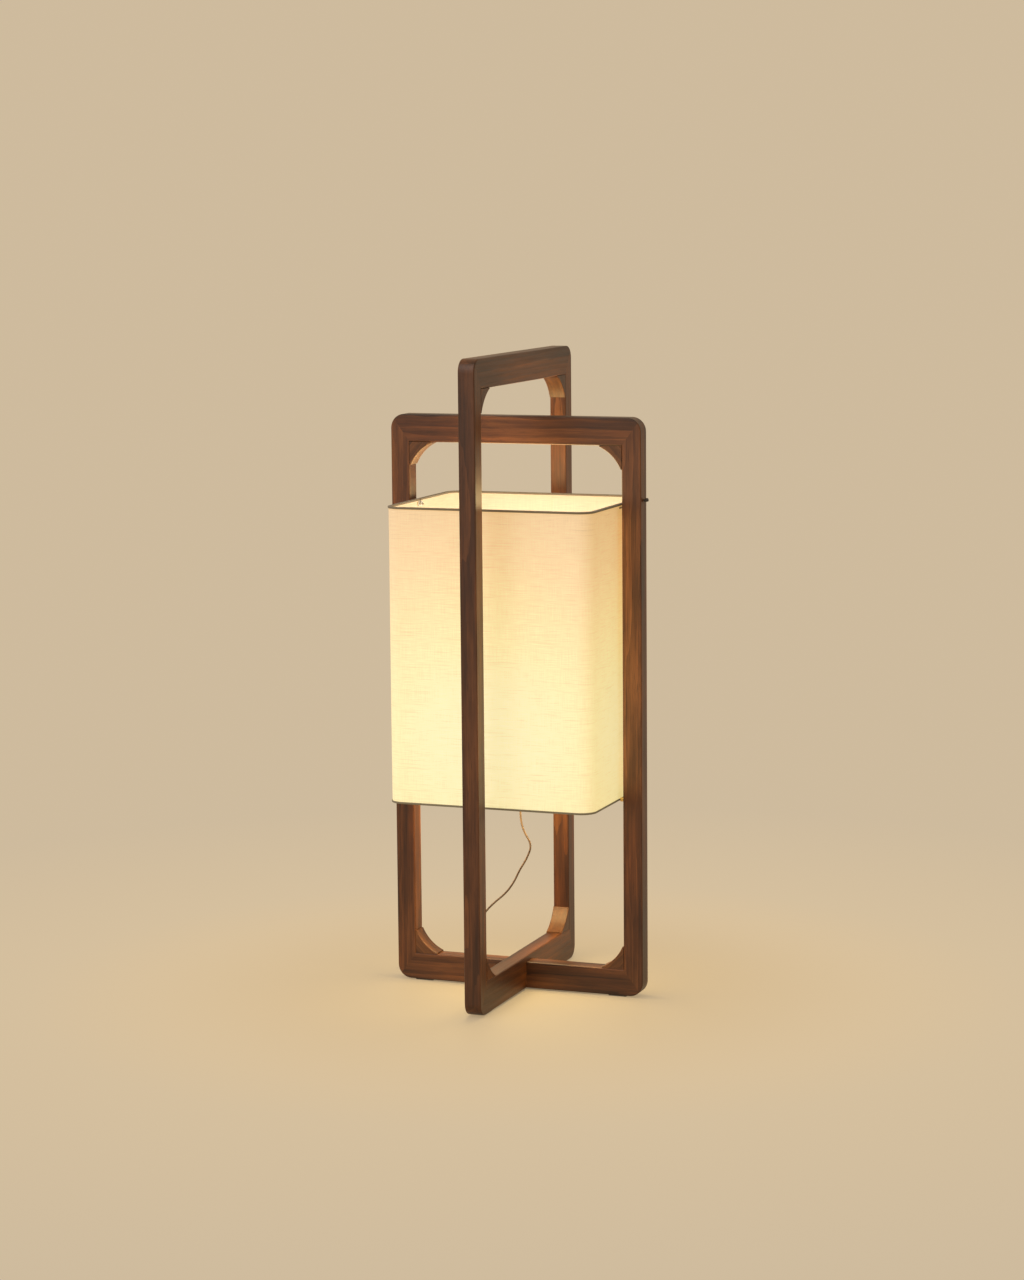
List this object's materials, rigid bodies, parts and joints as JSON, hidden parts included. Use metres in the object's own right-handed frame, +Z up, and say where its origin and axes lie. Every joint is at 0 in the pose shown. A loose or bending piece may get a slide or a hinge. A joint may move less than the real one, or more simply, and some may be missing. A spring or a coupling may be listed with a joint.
{
  "type": "floor lamp",
  "caption": "Floor lamp: a tall and a short wooden frame crossed at right angles hold a rounded rectangular fabric shade with a screw-in bulb and a mains cord.",
  "frame": {"origin": "on the floor under the crossing of the two frames", "axes": "+X along the short frame to the viewer's right, +Y along the tall frame away from the viewer, +Z up"},
  "size_m": [0.4433, 0.426, 1],
  "materials": {
    "frame_wood": "satin",
    "dowel_wood": "matte",
    "felt": "matte",
    "steel": "satin",
    "shade_cloth": "matte",
    "hem_tape": "matte",
    "ring_wire": "satin",
    "hanger_metal": "satin",
    "brass": "polished",
    "holder_plastic": "satin",
    "ceramic": "gloss",
    "bulb_metal": "satin",
    "bulb_black": "gloss",
    "bulb_housing": "satin",
    "bulb_diffuser": "frosted",
    "board": "matte",
    "cord_sheath": "satin",
    "tie_strap": "matte",
    "plug_plastic": "satin",
    "pin_metal": "polished"
  },
  "bodies": {
    "lamp": {"centre_contact": "brass", "clamp_ring": "holder_plastic", "cord_coil": "cord_sheath", "cord_drop": "cord_sheath", "cord_gland": "holder_plastic", "cord_tie": "tie_strap", "foot_pads": "felt", "hanger_nuts": "ring_wire", "holder_cap": "holder_plastic", "holder_insert": "ceramic", "holder_shell": "holder_plastic", "lap_screw": "steel", "left_hanger_rod": "hanger_metal", "plug_body": "plug_plastic", "plug_pins": "pin_metal", "plug_relief": "plug_plastic", "right_hanger_rod": "hanger_metal", "screw_shell": "brass", "shade_bottom_hem": "hem_tape", "shade_bottom_ring": "ring_wire", "shade_fabric": "shade_cloth", "shade_top_hem": "hem_tape", "shade_top_ring": "ring_wire", "short_bottom_left_block": "frame_wood", "short_bottom_rail": "frame_wood", "short_bottom_right_block": "frame_wood", "short_frame_dowels": "dowel_wood", "short_left_post": "frame_wood", "short_right_post": "frame_wood", "short_top_left_block": "frame_wood", "short_top_rail": "frame_wood", "short_top_right_block": "frame_wood", "steady_pins": "brass", "tall_back_post": "frame_wood", "tall_bottom_back_block": "frame_wood", "tall_bottom_front_block": "frame_wood", "tall_bottom_rail": "frame_wood", "tall_frame_dowels": "dowel_wood", "tall_front_post": "frame_wood", "tall_top_back_block": "frame_wood", "tall_top_front_block": "frame_wood", "tall_top_rail": "frame_wood"},
    "bulb": {"bulb_cap": "bulb_metal", "bulb_tip": "bulb_black", "bulb_collar": "bulb_housing", "bulb_globe": "bulb_diffuser", "led_board": "board"},
    "push_switch": {"push_bar": "ceramic", "push_button": "ceramic"},
    "thumb_screw": {"thumb_nut": "hanger_metal"}
  },
  "joints": [
    {"name": "bulb_lift", "type": "slide", "parent": "lamp", "child": "bulb", "axis": [0, 0, 1], "range_m": [0, 0.12]},
    {"name": "push_bar_slide", "type": "slide", "parent": "lamp", "child": "push_switch", "axis": [1, 0, 0], "range_m": [0, 0.006]},
    {"name": "thumb_nut_turn", "type": "hinge", "parent": "lamp", "child": "thumb_screw", "pos_m": [0.2055, 0, 0.7755], "axis": [0.9565, 0, 0.2916], "continuous": true}
  ]
}
